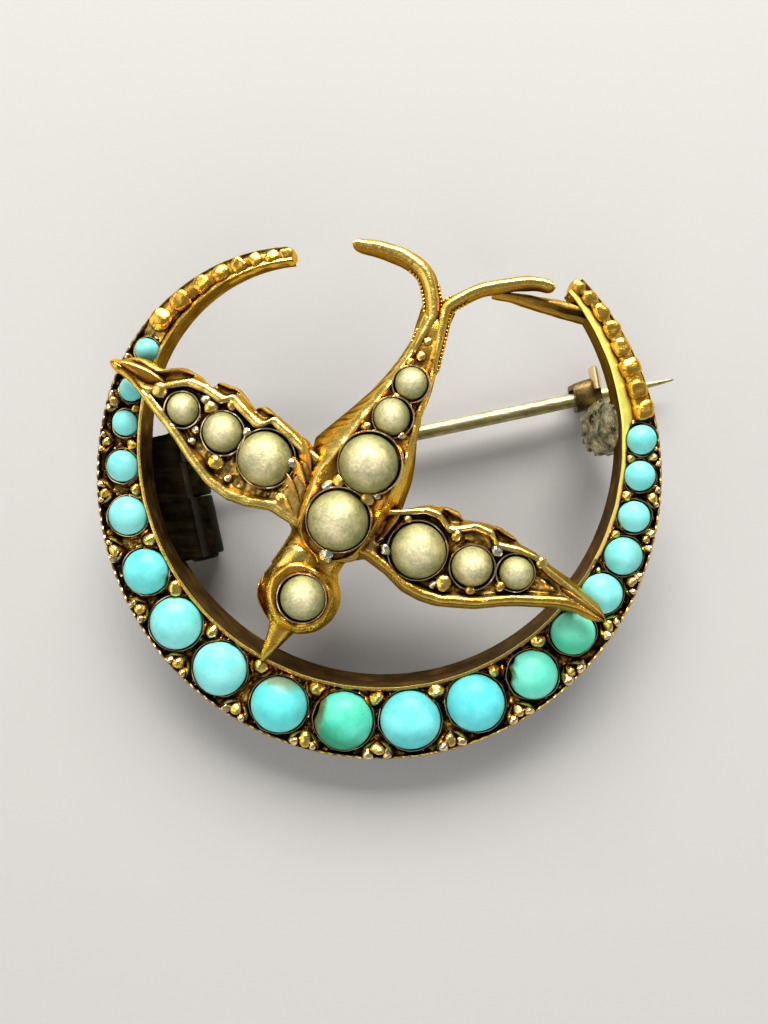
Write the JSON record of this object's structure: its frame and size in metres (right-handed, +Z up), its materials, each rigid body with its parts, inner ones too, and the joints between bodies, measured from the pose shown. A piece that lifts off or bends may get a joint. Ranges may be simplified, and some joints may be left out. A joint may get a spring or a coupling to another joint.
{
  "type": "scatter pin",
  "caption": "Small gold brooch: an open crescent of domed turquoises with a pearl-set swallow flying across it, and a hinged steel pin with a hook catch behind.",
  "frame": {"origin": "on the surface that the brooch lies on, straight below the centre of the crescent's outer circle", "axes": "+Z up from the surface, +Y towards the gap between the horns, +X to the right seen from the front"},
  "size_m": [0.0269, 0.0225, 0.0081],
  "materials": {
    "gold": "worn yellow gold",
    "rivet_metal": "dark worn bronze",
    "pin_steel": "satin steel",
    "turquoise": "polished stone",
    "pearl": "satin pearl"
  },
  "bodies": {
    "mount": {"gold_mount": "gold", "hinge_rivet": "rivet_metal", "turquoise_01": "turquoise", "turquoise_02": "turquoise", "turquoise_03": "turquoise", "turquoise_04": "turquoise", "turquoise_05": "turquoise", "turquoise_06": "turquoise", "turquoise_07": "turquoise", "turquoise_08": "turquoise", "turquoise_09": "turquoise", "turquoise_10": "turquoise", "turquoise_11": "turquoise", "turquoise_12": "turquoise", "turquoise_13": "turquoise", "turquoise_14": "turquoise", "turquoise_15": "turquoise", "turquoise_16": "turquoise", "turquoise_17": "turquoise", "turquoise_18": "turquoise", "turquoise_19": "turquoise", "pearl_left_wing_1": "pearl", "pearl_left_wing_2": "pearl", "pearl_left_wing_3": "pearl", "pearl_right_wing_1": "pearl", "pearl_right_wing_2": "pearl", "pearl_right_wing_3": "pearl", "pearl_body_1": "pearl", "pearl_body_2": "pearl", "pearl_body_3": "pearl", "pearl_body_4": "pearl", "pearl_head": "pearl"},
    "pin": {"pin_stem": "pin_steel"}
  },
  "joints": [
    {"name": "pin_hinge", "type": "hinge", "parent": "mount", "child": "pin", "pos_m": [-0.0093, 0.00074, 0.00169], "axis": [-0.1908, 0.9602, 0.2041], "range_deg": [0, 75]}
  ]
}
